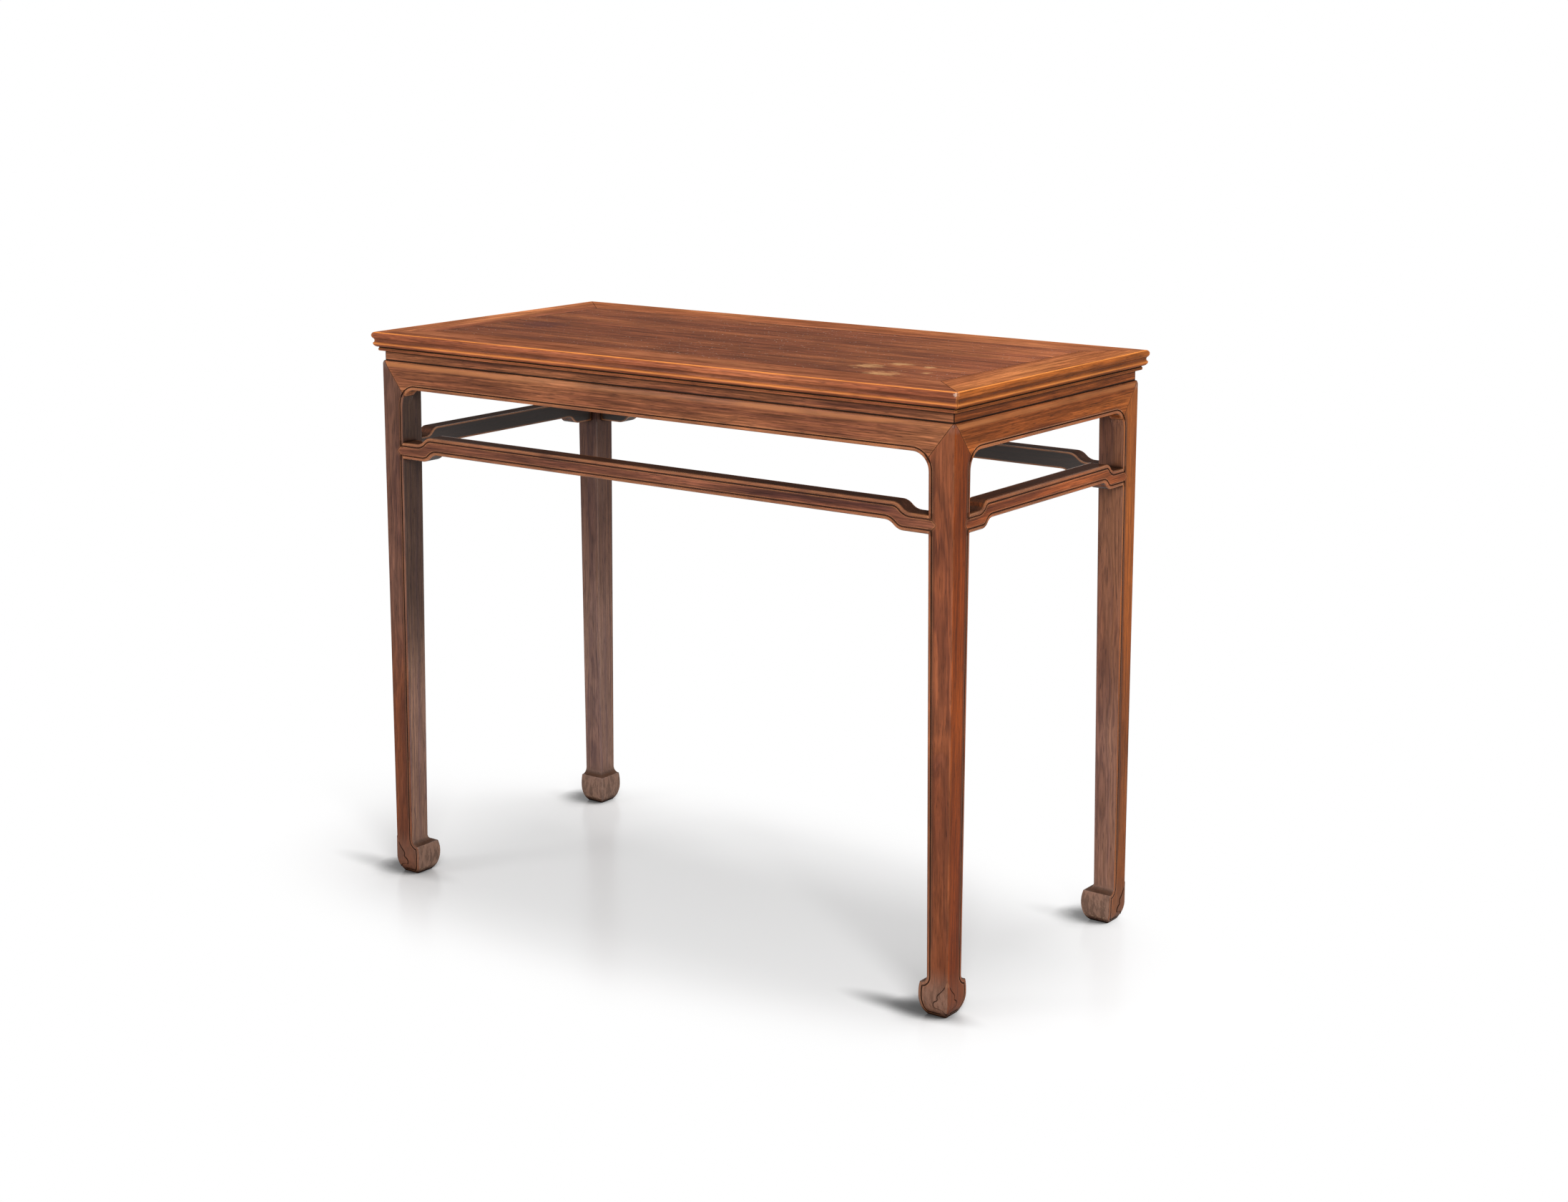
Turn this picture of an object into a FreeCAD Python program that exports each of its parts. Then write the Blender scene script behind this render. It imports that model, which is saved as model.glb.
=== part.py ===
import FreeCAD, Part
import math
import os

# Waisted side table with hoof feet and humpback stretchers, in millimetres.
# The origin is on the floor under the middle of the top. +X runs along the length, +Y to the back, +Z up.
# Each side is drawn once, as the front, in its own frame: "run" goes along the side from its middle, "inset"
# goes inward from the outermost line of the top moulding, and the solid is then turned to its place.

# Overall sizes
table_length = 1044.0
table_depth = 510.0
table_height = 850.0

# Top frame: width in plan, thickness, and the moulding of its edge as insets and drops below the top
frame_width = 73.0
frame_thickness = 28.5
arris_inset = 3.2
nose_drop = 4.8
nose_height = 9.0
nose_return = 1.4
cove_depth = 2.0
roll_drop = 16.4
roll_inset = 1.5
roll_bottom_drop = 22.6
roll_bottom_inset = 7.0
quirk_depth = 0.8
lip_inset = 7.3
lip_height = 4.2
lip_round = 1.4

# Floating panel and its braces
panel_thickness = 12.0
panel_gap = 0.5
tongue_thickness = 6.0
tongue_length = 8.0
brace_width = 30.0
brace_clear = 1.5
brace_spacing = 240.0
brace_tenon_length = 15.0
brace_tenon_height = 8.0
ridge_width = 14.0
ridge_flare = 2.0
ridge_height = 4.0

# Waist and apron
leg_inset = 11.0
waist_inset = 14.6
waist_height = 14.5
waist_tongue = 5.0
waist_tongue_height = 4.0
waist_tongue_inset = 20.0
apron_height = 41.0
apron_thickness = 20.0
apron_round = 12.0
crown_radius = 2.2
corner_radius = 25.0
mitre_tip = 3.0
mitre_angle = 34.0

# Leg and hoof foot, measured inward from the leg's outer faces
leg_top_width = 40.0
leg_ankle_width = 34.0
leg_ridge_round = 2.5
ankle_height = 56.5
ankle_radius = 10.0
hoof_reach = 47.5
hoof_radius = 60.0
hoof_middle = 30.0
hoof_toe_radius = 25.0
hoof_toe_turn = 18.0
foot_inset = 8.0
foot_curl = 26.0

# Raised bead along the edges: its width, the groove that sets it off and the ease of its outer arris
bead_width = 4.3
groove_width = 2.2
groove_depth = 1.3
bead_ease = 1.2
foot_bead_end = 14.0

# Humpback stretchers: clear space under the apron at the legs, section and hump
stretcher_gap = 81.6
stretcher_height = 25.2
stretcher_thickness = 28.0
hump_rise = 12.0
long_hump_start = 27.0
long_hump_length = 30.0
long_hump_shift = 12.0
short_hump_start = 23.5
short_hump_length = 24.0
short_hump_shift = 9.0

# Hidden joinery
fit = 0.15
end_gap = 1.0
frame_tenon_thickness = 8.0
frame_tenon_drop = 5.5
frame_tenon_near = 30.0
frame_tenon_far = 60.0
frame_tenon_stop = 14.0
leg_tenon_side = 8.0
leg_tenon_height = 11.0
leg_tenon_edge = 1.0
key_root = 8.0
key_flare = 1.5
key_depth = 7.0
key_top = 4.0
apron_tongue_near = 18.0
apron_tongue_far = 38.0
apron_tongue_depth = 10.0
apron_tongue_inset = 6.0
apron_tongue_thickness = 6.0
shoulder_depth = 10.0
stretcher_tenon_inset = 12.0
stretcher_tenon_thickness = 8.0
stretcher_tenon_height = 16.0
stretcher_tenon_length = 15.0

# Heights and insets that follow from the sizes above
frame_bottom = table_height - frame_thickness
panel_bottom = table_height - panel_thickness
apron_top = frame_bottom - waist_height
apron_bottom = apron_top - apron_height
apron_set = waist_inset - leg_inset
corner_height = apron_bottom - corner_radius
neck_width = leg_top_width - apron_thickness
stretcher_level = apron_bottom - stretcher_gap - stretcher_height
stretcher_axis = stretcher_level + stretcher_height / 2
half_length = table_length / 2
half_depth = table_depth / 2
margin = 5.0


def point(across, up):
    return FreeCAD.Vector(across, 0, up)


def upright(steps, near, far):
    """A prism between y = near and y = far. A step of two numbers is a line to (x, z); four are an arc to the
    last two through the first two."""
    edges = []
    last = point(steps[0][-2], steps[0][-1])
    for step in steps[1:] + steps[:1]:
        here = point(step[-2], step[-1])
        if len(step) == 4:
            edges.append(Part.Arc(last, point(step[0], step[1]), here).toShape())
        else:
            edges.append(Part.LineSegment(last, here).toShape())
        last = here
    face = Part.Face(Part.Wire(edges))
    face.translate(FreeCAD.Vector(0, near, 0))
    return face.extrude(FreeCAD.Vector(0, far - near, 0))


def block(x0, x1, y0, y1, z0, z1):
    return Part.makeBox(x1 - x0, y1 - y0, z1 - z0, FreeCAD.Vector(x0, y0, z0))


def arc(centre, radius, start, stop):
    """The step that turns from angle start to angle stop, in degrees, about a centre (x, z)."""
    middle = on_circle(centre, radius, (start + stop) / 2)
    return middle + on_circle(centre, radius, stop)


def on_circle(centre, radius, angle):
    turn = math.radians(angle)
    return (centre[0] + radius * math.cos(turn), centre[1] + radius * math.sin(turn))


def rise_arc(start, stop):
    """The step of an arc that leaves start straight up and ends at stop."""
    across = stop[0] - start[0]
    up = stop[1] - start[1]
    radius = (across ** 2 + up ** 2) / (2 * across)
    turn = math.atan2(up, radius - across) / 2
    return (start[0] + radius * (1 - math.cos(turn)), start[1] + radius * math.sin(turn)) + stop


def fall_arc(start, stop):
    """The step of an arc from start, further in and lower, that reaches stop going straight up."""
    up = stop[1] - start[1]
    half_way = rise_arc((stop[0], 0), (start[0], up))
    return (half_way[0], stop[1] - half_way[1]) + stop


def swapped(shape):
    """The same shape with its X and Y exchanged: the other face of a leg."""
    return shape.mirror(FreeCAD.Vector(0, 0, 0), FreeCAD.Vector(1, -1, 0))


def at_nose(shape, half_run, reach):
    """A shape measured in from the top's nose on two sides, moved to the low end of one side."""
    moved = shape.copy()
    moved.translate(FreeCAD.Vector(-half_run, -reach, 0))
    return moved


def at_leg(shape, half_run, reach):
    """A shape measured in from a leg's outer faces, moved to the low end of a side."""
    return at_nose(shape, half_run - leg_inset, reach - leg_inset)


def both_ends(shape):
    """A cutter or tenon at the low end of a side, with its mirror image at the high end."""
    return shape.fuse(shape.mirror(FreeCAD.Vector(0, 0, 0), FreeCAD.Vector(1, 0, 0)))


def mitred(shape, half_run, reach):
    """The shape of one side with both ends cut on the diagonal of the table's corners."""
    depth = frame_width + margin
    corner = FreeCAD.Vector(-half_run - margin, -reach - margin, 0)
    inner = FreeCAD.Vector(-half_run + depth, -reach + depth, 0)
    outer = FreeCAD.Vector(-half_run - margin, -reach + depth, 0)
    wedge = Part.Face(Part.makePolygon([corner, inner, outer, corner]))
    return shape.cut(both_ends(wedge.extrude(FreeCAD.Vector(0, 0, table_height + margin))))


def turned(shape, side):
    quarter_turns = ("front", "right", "back", "left").index(side)
    shape.rotate(FreeCAD.Vector(0, 0, 0), FreeCAD.Vector(0, 0, 1), 90 * quarter_turns)
    return shape


def lies_on(edge, depth):
    """True on an edge of a side's face, or of any plane at one depth."""
    return edge.BoundBox.YMin > depth - fit and edge.BoundBox.YMax < depth + fit


def one_solid(shape):
    """The shape with leftover seams removed, checked to be a single piece."""
    clean = shape.removeSplitter()
    if len(clean.Solids) != 1:
        raise ValueError(f"expected one solid, found {len(clean.Solids)}")
    return clean.Solids[0]


def mitre_height(across):
    """Height of the shoulder line between leg and apron at a distance from the leg's outer edge."""
    foot = on_circle(corner_centre(), corner_radius, 180 - mitre_angle)
    return apron_top + (across - mitre_tip) * (foot[1] - apron_top) / (foot[0] - mitre_tip)


def corner_centre():
    return (leg_top_width + corner_radius, corner_height)


def ankle_centre():
    return (leg_ankle_width + ankle_radius, ankle_height)


def leg_taper():
    """Angle from upright, in degrees, of the inner edge that touches the corner's and the ankle's rounds."""
    across = corner_centre()[0] - ankle_centre()[0]
    up = corner_centre()[1] - ankle_centre()[1]
    lean = math.atan2(across, up) + math.asin((ankle_radius - corner_radius) / math.hypot(across, up))
    return math.degrees(lean)


def leg_width(height):
    """Width of the leg at a height between the ankle and the apron."""
    lean = math.radians(leg_taper())
    return ankle_centre()[0] - (ankle_radius - math.sin(lean) * (height - ankle_height)) / math.cos(lean)


# Top frame: mitred members with a moulded edge, grooved for the panel. The long ones carry the corner tenons.
def moulding():
    """The section of a frame member: (inset from the nose, height), starting at the nose."""
    top = table_height
    nose = (0, top - nose_drop)
    nose_bottom = (nose_return, top - nose_height)
    roll_top = (roll_inset, top - roll_drop)
    roll_bottom = (roll_bottom_inset, top - roll_bottom_drop)
    cove_middle = ((nose_return + roll_inset) / 2 + cove_depth, top - (nose_height + roll_drop) / 2)
    lip_top = frame_bottom + lip_height
    return [
        fall_arc(nose_bottom, nose),
        rise_arc(nose, (arris_inset, top)),
        (frame_width, top),
        (frame_width, frame_bottom),
        (lip_inset + lip_round, frame_bottom),
        arc((lip_inset + lip_round, frame_bottom + lip_round), lip_round, 270, 180),
        (lip_inset, lip_top),
        (lip_inset + quirk_depth, lip_top),
        (lip_inset + quirk_depth, roll_bottom[1]),
        roll_bottom,
        fall_arc(roll_bottom, roll_top),
        cove_middle + nose_bottom,
    ]


def frame_tenon(slack, gap):
    """The corner tenon of a long member, measured in from its end and from its nose."""
    top = table_height - frame_tenon_drop
    return block(frame_tenon_stop - gap, frame_width, frame_tenon_near - slack, frame_tenon_far + slack,
                 top - frame_tenon_thickness - slack, top + slack)


def frame_member(half_run, reach, long_member):
    profile = swapped(upright(moulding(), -half_run, half_run))
    profile.translate(FreeCAD.Vector(0, -reach, 0))
    member = mitred(profile, half_run, reach)
    inner = -reach + frame_width
    groove = block(-half_run, half_run, inner - tongue_length - end_gap, inner,
                   panel_bottom - fit, panel_bottom + tongue_thickness + fit)
    member = member.cut(groove)
    member = member.cut(waist_tongue_bar(half_run, reach, frame_bottom, fit, end_gap))
    member = member.cut(both_ends(at_leg(top_tenon(fit, end_gap), half_run, reach)))
    if long_member:
        member = member.fuse(both_ends(at_nose(frame_tenon(0, 0), half_run, reach)))
        for place in brace_places():
            member = member.cut(brace_tenon(place, fit, end_gap))
    else:
        member = member.cut(both_ends(at_nose(swapped(frame_tenon(fit, end_gap)), half_run, reach)))
    return one_solid(member)


# Floating panel with a tongue all round, and braces in sliding dovetails under it
def brace_places():
    return (-brace_spacing, 0, brace_spacing)


def ridge(place, half_run, slack):
    low = ridge_width / 2 + slack
    high = low + ridge_flare
    bottom = panel_bottom - slack
    top = panel_bottom + ridge_height + slack
    steps = [(place - low, bottom), (place + low, bottom), (place + high, top), (place - high, top)]
    return upright(steps, -half_run, half_run)


def brace_tenon(place, slack, gap):
    shoulder = half_depth - frame_width
    bottom = frame_bottom + brace_clear + (panel_bottom - frame_bottom - brace_clear - brace_tenon_height) / 2
    return block(place - brace_width / 3 - slack, place + brace_width / 3 + slack,
                 -shoulder - brace_tenon_length - gap, shoulder + brace_tenon_length + gap,
                 bottom - slack, bottom + brace_tenon_height + slack)


def panel():
    half_x = half_length - frame_width - panel_gap
    half_y = half_depth - frame_width - panel_gap
    board = block(-half_x, half_x, -half_y, half_y, panel_bottom, table_height)
    tongue = block(-half_x - tongue_length, half_x + tongue_length, -half_y - tongue_length, half_y + tongue_length,
                   panel_bottom, panel_bottom + tongue_thickness)
    board = board.fuse(tongue)
    for place in brace_places():
        board = board.cut(ridge(place, half_depth, fit))
    return one_solid(board)


def brace(place):
    shoulder = half_depth - frame_width
    bar = block(place - brace_width / 2, place + brace_width / 2, -shoulder, shoulder,
                frame_bottom + brace_clear, panel_bottom)
    return one_solid(bar.fuse([ridge(place, shoulder - tongue_length, 0), brace_tenon(place, 0, 0)]))


# Waist: a recessed strip, mitred at the corners, with a tongue up into the frame and one down into the apron
def waist_tongue_bar(half_run, reach, middle, slack, gap):
    """The tongue that crosses a joint at height middle, or its groove."""
    end = half_run - leg_inset - leg_top_width - margin
    return block(-end - gap, end + gap, -reach + waist_tongue_inset - slack,
                 -reach + waist_tongue_inset + waist_tongue + slack,
                 middle - waist_tongue_height - gap, middle + waist_tongue_height + gap)


def waist(half_run, reach):
    strip = block(-half_run, half_run, -reach + waist_inset, -reach + leg_inset + apron_thickness,
                  apron_top, frame_bottom)
    strip = mitred(strip, half_run, reach)
    tongues = [waist_tongue_bar(half_run, reach, level, 0, 0) for level in (apron_top, frame_bottom)]
    return one_solid(strip.fuse(tongues))


# Apron: rounded over at the top, beaded at the bottom, with mitred ends that drop over the legs' shoulders
def crowned_face():
    """Steps up the face that aprons and legs share: straight, then a slow round, then a quick one to the waist."""
    rise = apron_round - crown_radius
    slow_radius = (apron_set ** 2 + rise ** 2 - crown_radius ** 2) / (2 * (apron_set - crown_radius))
    slow = (slow_radius, apron_top - apron_round)
    crown = (apron_set, apron_top - crown_radius)
    turn = angle_about(slow, crown)
    return [
        (0, 0),
        on_circle(slow, slow_radius, 180),
        arc(slow, slow_radius, 180, turn),
        arc(crown, crown_radius, turn, 90),
    ]


def opening(half_run, low, grow):
    """Outline of the space under an apron between two legs, grown outward by a distance."""
    side = half_run - leg_inset - leg_top_width + grow
    centre = half_run - leg_inset - leg_top_width - corner_radius
    radius = corner_radius + grow
    return [
        (-side, low),
        (-side, corner_height),
        arc((-centre, corner_height), radius, 180, 90),
        (centre, apron_bottom + grow),
        arc((centre, corner_height), radius, 90, 0),
        (side, low),
    ]


def key(slack, gap):
    """The hanging dovetail on the front cheek of a leg, in the leg's own frame."""
    middle = apron_thickness + neck_width / 2
    root = key_root / 2 + slack
    head = root + key_flare
    outline = [FreeCAD.Vector(middle - root, apron_thickness + margin, 0),
               FreeCAD.Vector(middle - root, apron_thickness, 0),
               FreeCAD.Vector(middle - head, apron_thickness - key_depth - slack, 0),
               FreeCAD.Vector(middle + head, apron_thickness - key_depth - slack, 0),
               FreeCAD.Vector(middle + root, apron_thickness, 0),
               FreeCAD.Vector(middle + root, apron_thickness + margin, 0)]
    bottom = mitre_height(leg_top_width)
    top = apron_top - key_top + gap
    bar = Part.Face(Part.makePolygon(outline + outline[:1])).extrude(FreeCAD.Vector(0, 0, top - bottom))
    bar.translate(FreeCAD.Vector(0, 0, bottom))
    return bar


def shoulder_tongue(slack, gap):
    """The tongue under an apron's mitred end, in the leg's own frame."""
    near = apron_tongue_near - slack
    far = apron_tongue_far + slack
    drop = apron_tongue_depth + gap
    steps = [(near, mitre_height(near) + margin), (far, mitre_height(far) + margin),
             (far, mitre_height(far) - drop), (near, mitre_height(near) - drop)]
    return upright(steps, apron_tongue_inset - slack, apron_tongue_inset + apron_tongue_thickness + slack)


def apron(half_run, reach):
    face = -reach + leg_inset
    end = half_run - leg_inset
    foot = on_circle((-end + leg_top_width + corner_radius, corner_height), corner_radius, 180 - mitre_angle)
    centre = end - leg_top_width - corner_radius
    outline = [
        foot,
        arc((-centre, corner_height), corner_radius, 180 - mitre_angle, 90),
        (centre, apron_bottom),
        arc((centre, corner_height), corner_radius, 90, mitre_angle),
        (end - mitre_tip, apron_top),
        (-end + mitre_tip, apron_top),
    ]
    board = upright(outline, face, face + apron_thickness)
    lower_edge = [edge for edge in board.Edges if lies_on(edge, face) and edge.BoundBox.ZMax < apron_bottom + fit]
    board = board.makeChamfer(bead_ease, lower_edge)
    section = crowned_face() + [(apron_thickness, apron_top), (apron_thickness, 0)]
    rounded = swapped(upright(section, -end, end))
    rounded.translate(FreeCAD.Vector(0, face, 0))
    board = mitred(board.common(rounded), half_run, reach)
    groove = upright(opening(half_run, 0, bead_width + groove_width), face, face + groove_depth)
    bead = upright(opening(half_run, 0, bead_width), face, face + groove_depth)
    board = board.cut(groove.cut(bead))
    board = board.cut(waist_tongue_bar(half_run, reach, apron_top, fit, end_gap))
    board = board.cut(both_ends(at_leg(key(fit, end_gap), half_run, reach)))
    return one_solid(board.fuse(both_ends(at_leg(shoulder_tongue(0, 0), half_run, reach))))


# Stretchers: a bar that humps up between the legs, beaded on both edges of its face, with pointed mitre
# shoulders let into the legs' faces and blind tenons behind them
def hump_edge(half_run, level, start, length, lift):
    """Steps along one humped edge from the low end to the high end, shifted outward by lift."""
    inner_edge = half_run - leg_inset - leg_width(stretcher_axis)
    radius = (length ** 2 + hump_rise ** 2) / (4 * hump_rise)
    sweep = math.degrees(2 * math.atan2(hump_rise, length))
    low_x = inner_edge - start
    high_x = low_x - length
    low = level + radius
    high = level + hump_rise - radius
    return [
        (-low_x, level + lift),
        arc((-low_x, low), radius - lift, 270, 270 + sweep),
        arc((-high_x, high), radius + lift, 90 + sweep, 90),
        (high_x, level + hump_rise + lift),
        arc((high_x, high), radius + lift, 90, 90 - sweep),
        arc((low_x, low), radius - lift, 270 - sweep, 270),
    ]


def stretcher_tenon(slack, gap):
    """The blind tenon of a stretcher, in the leg's own frame."""
    half = stretcher_tenon_height / 2 + slack
    inner = leg_width(stretcher_axis)
    return block(inner - stretcher_tenon_length - gap, inner + margin,
                 stretcher_tenon_inset - slack, stretcher_tenon_inset + stretcher_tenon_thickness + slack,
                 stretcher_axis - half, stretcher_axis + half)


def stretcher_point():
    """The pointed mitre shoulder of a stretcher, in the leg's own frame."""
    top = stretcher_level + stretcher_height
    point_length = stretcher_height / 2
    steps = [(leg_width(stretcher_level), stretcher_level), (leg_width(top), top),
             (leg_width(stretcher_axis) - point_length, stretcher_axis)]
    return upright(steps, 0, shoulder_depth)


def stretcher(half_run, reach, start, length, shift):
    face = -reach + leg_inset
    top = stretcher_level + stretcher_height
    end = half_run - leg_inset
    low_end = end - leg_width(stretcher_level)
    high_end = end - leg_width(top)
    under = hump_edge(half_run, stretcher_level, start + shift, length, 0)
    over = hump_edge(half_run, top, start, length, 0)
    bar = upright(bar_outline(low_end, high_end, under, over), face, face + stretcher_thickness)
    long_edges = [edge for edge in bar.Edges if lies_on(edge, face) and edge.BoundBox.XLength > bead_width]
    bar = bar.makeChamfer(bead_ease, long_edges)
    bar = bar.fuse(both_ends(at_leg(stretcher_point().fuse(stretcher_tenon(0, 0)), half_run, reach)))
    near = bead_width
    far = bead_width + groove_width
    for level, bend, inward in ((top, start, -1), (stretcher_level, start + shift, 1)):
        edges = [hump_edge(half_run, level, bend, length, inward * lift) for lift in (near, far)]
        bar = bar.cut(band(edges, end, face))
    return one_solid(bar)


def backwards(steps):
    """The same run of lines and arcs drawn from its far end."""
    flipped = []
    for index in range(len(steps) - 1, -1, -1):
        here = steps[index][-2:]
        after = steps[index + 1] if index + 1 < len(steps) else here
        flipped.append(after[:2] + here if len(after) == 4 else here)
    return flipped


def bar_outline(low_end, high_end, under, over):
    return [(-low_end, under[0][1])] + under + [(low_end, under[-1][-1]), (high_end, over[-1][-1])] \
        + backwards(over) + [(-high_end, over[0][1])]


def band(edges, end, face):
    """The groove between two parallel edges, running out past both ends of a stretcher."""
    return upright(bar_outline(end, end, edges[0], edges[1]), face, face + groove_depth)


# Legs: square in section, tapering on the inner faces to a hoof foot, with a beaded edge on both outer faces
def hoof_meet(shrink):
    """Where the ankle's hollow meets the hoof's bulge, for an outline drawn in by a distance."""
    ankle = ankle_centre()
    hoof = (hoof_reach - hoof_radius, hoof_middle)
    gap = math.dist(ankle, hoof)
    bulge = hoof_radius - shrink
    along = (bulge ** 2 - (ankle_radius + shrink) ** 2 + gap ** 2) / (2 * gap)
    aside = math.sqrt(bulge ** 2 - along ** 2)
    ux = (ankle[0] - hoof[0]) / gap
    uz = (ankle[1] - hoof[1]) / gap
    return (hoof[0] + along * ux + aside * uz, hoof[1] + along * uz - aside * ux)


def top_tenon(slack, gap):
    """One of the twin tenons on a leg's neck, the one in the long member, in the leg's own frame."""
    far_edge = leg_top_width - leg_tenon_side
    near_edge = apron_thickness + leg_tenon_edge
    return block(far_edge - slack, leg_top_width + slack, near_edge - slack, near_edge + leg_tenon_side + slack,
                 frame_bottom - margin, frame_bottom + leg_tenon_height + gap)


def angle_about(centre, place):
    return math.degrees(math.atan2(place[1] - centre[1], place[0] - centre[0]))


def inner_edge(shrink):
    """Steps down a leg's inner edge, from the rounded corner under the apron to the floor."""
    ankle = ankle_centre()
    hoof = (hoof_reach - hoof_radius, hoof_middle)
    meet = hoof_meet(shrink)
    bulge = hoof_radius - shrink
    toe = on_circle(hoof, hoof_radius - hoof_toe_radius, -hoof_toe_turn)
    toe_bulge = hoof_toe_radius - shrink
    floor_angle = math.degrees(math.asin((shrink - toe[1]) / toe_bulge))
    touch = 180 - leg_taper()
    return [
        on_circle(corner_centre(), corner_radius + shrink, 90),
        arc(corner_centre(), corner_radius + shrink, 90, touch),
        on_circle(ankle, ankle_radius + shrink, touch),
        arc(ankle, ankle_radius + shrink, touch, 360 + angle_about(ankle, meet)),
        arc(hoof, bulge, angle_about(hoof, meet), -hoof_toe_turn),
        arc(toe, toe_bulge, -hoof_toe_turn, floor_angle),
    ]


def outer_edge(shift):
    """Steps up a leg's outer edge, from the floor to the frame, moved inward by a distance."""
    return [
        (foot_inset + shift, 0),
        fall_arc((foot_inset + shift, 0), (shift, foot_curl)),
        (shift, frame_bottom),
    ]


def leg_groove():
    """The groove beside the bead on a leg's front face, following the face down its curled foot."""
    end = (foot_bead_end, bead_width)
    back = (foot_bead_end, bead_width + groove_width)
    line = upright(inner_edge(bead_width) + [end, back] + backwards(inner_edge(bead_width + groove_width)),
                   -margin, foot_inset + margin)
    skin = upright(outer_edge(-margin) + backwards(outer_edge(groove_depth)), -margin, hoof_reach + margin)
    return line.common(swapped(skin))


def leg():
    far = hoof_reach + margin
    touch = on_circle(corner_centre(), corner_radius, 180 - leg_taper())
    neck = [(leg_top_width, frame_bottom), touch]
    body = upright(outer_edge(0) + neck + inner_edge(0)[2:], -margin, far)
    body = body.common(swapped(body))
    body = body.makeFillet(leg_ridge_round, [edge for edge in body.Edges if is_ridge(edge)])
    crowned = upright(crowned_face() + [(apron_set, frame_bottom), (far, frame_bottom), (far, 0)], -margin, far)
    body = body.common(crowned).common(swapped(crowned))

    inside = leg_top_width - margin
    ear = upright([(inside, touch[1]), touch,
                   arc(corner_centre(), corner_radius, 180 - leg_taper(), 180 - mitre_angle),
                   (inside, mitre_height(inside))], 0, apron_thickness)
    body = body.fuse([ear, swapped(ear)])
    cheek = upright([(-margin, mitre_height(-margin)), (far, mitre_height(far)),
                     (far, table_height), (-margin, table_height)], -margin, apron_thickness)
    body = body.cut(cheek).cut(swapped(cheek)).removeSplitter()
    body = body.makeChamfer(bead_ease, [edge for edge in body.Edges if is_bead(edge)])

    for added in (key(0, 0), top_tenon(0, 0)):
        body = body.fuse([added, swapped(added)])
    cutters = (leg_groove(), shoulder_tongue(fit, end_gap), stretcher_tenon(fit, end_gap), stretcher_point())
    for cutter in cutters:
        body = body.cut(cutter).cut(swapped(cutter))
    return one_solid(body)


def is_ridge(edge):
    """True on the edge between a leg's two outer faces, where both insets are equal and small."""
    ends = [vertex.Point for vertex in edge.Vertexes]
    on_diagonal = all(abs(end.x - end.y) < fit and end.x < foot_inset + fit for end in ends)
    return on_diagonal and max(end.z for end in ends) < frame_bottom + fit


def is_bead(edge):
    """True on the edge between an outer face of a leg and the inner face beside it."""
    ends = [vertex.Point for vertex in edge.Vertexes]
    on_face = all(min(end.x, end.y) < foot_inset + fit for end in ends)
    on_inner = all(max(end.x, end.y) > leg_ankle_width - bead_width for end in ends)
    return on_face and on_inner and max(end.z for end in ends) < mitre_height(leg_top_width)


pieces = {}
for side in ("front", "back"):
    pieces[f"top_frame_{side}"] = turned(frame_member(half_length, half_depth, True), side)
    pieces[f"waist_{side}"] = turned(waist(half_length, half_depth), side)
    pieces[f"apron_{side}"] = turned(apron(half_length, half_depth), side)
    pieces[f"stretcher_{side}"] = turned(
        stretcher(half_length, half_depth, long_hump_start, long_hump_length, long_hump_shift), side)
for side in ("left", "right"):
    pieces[f"top_frame_{side}"] = turned(frame_member(half_depth, half_length, False), side)
    pieces[f"waist_{side}"] = turned(waist(half_depth, half_length), side)
    pieces[f"apron_{side}"] = turned(apron(half_depth, half_length), side)
    pieces[f"stretcher_{side}"] = turned(
        stretcher(half_depth, half_length, short_hump_start, short_hump_length, short_hump_shift), side)

pieces["top_panel"] = panel()
for name, place in zip(("left", "middle", "right"), brace_places()):
    pieces[f"panel_brace_{name}"] = brace(place)

corner_leg = at_leg(leg(), half_length, half_depth)
across = FreeCAD.Vector(1, 0, 0)
forward = FreeCAD.Vector(0, 1, 0)
middle = FreeCAD.Vector(0, 0, 0)
pieces["leg_front_left"] = corner_leg
pieces["leg_front_right"] = corner_leg.mirror(middle, across)
pieces["leg_back_left"] = corner_leg.mirror(middle, forward)
pieces["leg_back_right"] = corner_leg.mirror(middle, across).mirror(middle, forward)

os.makedirs("parts", exist_ok=True)
for name, shape in pieces.items():
    shape.exportStep(f"parts/{name}.step")
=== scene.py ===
import math

import bmesh
import bpy
from mathutils import Matrix, Vector
from mathutils.geometry import interpolate_bezier


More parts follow.
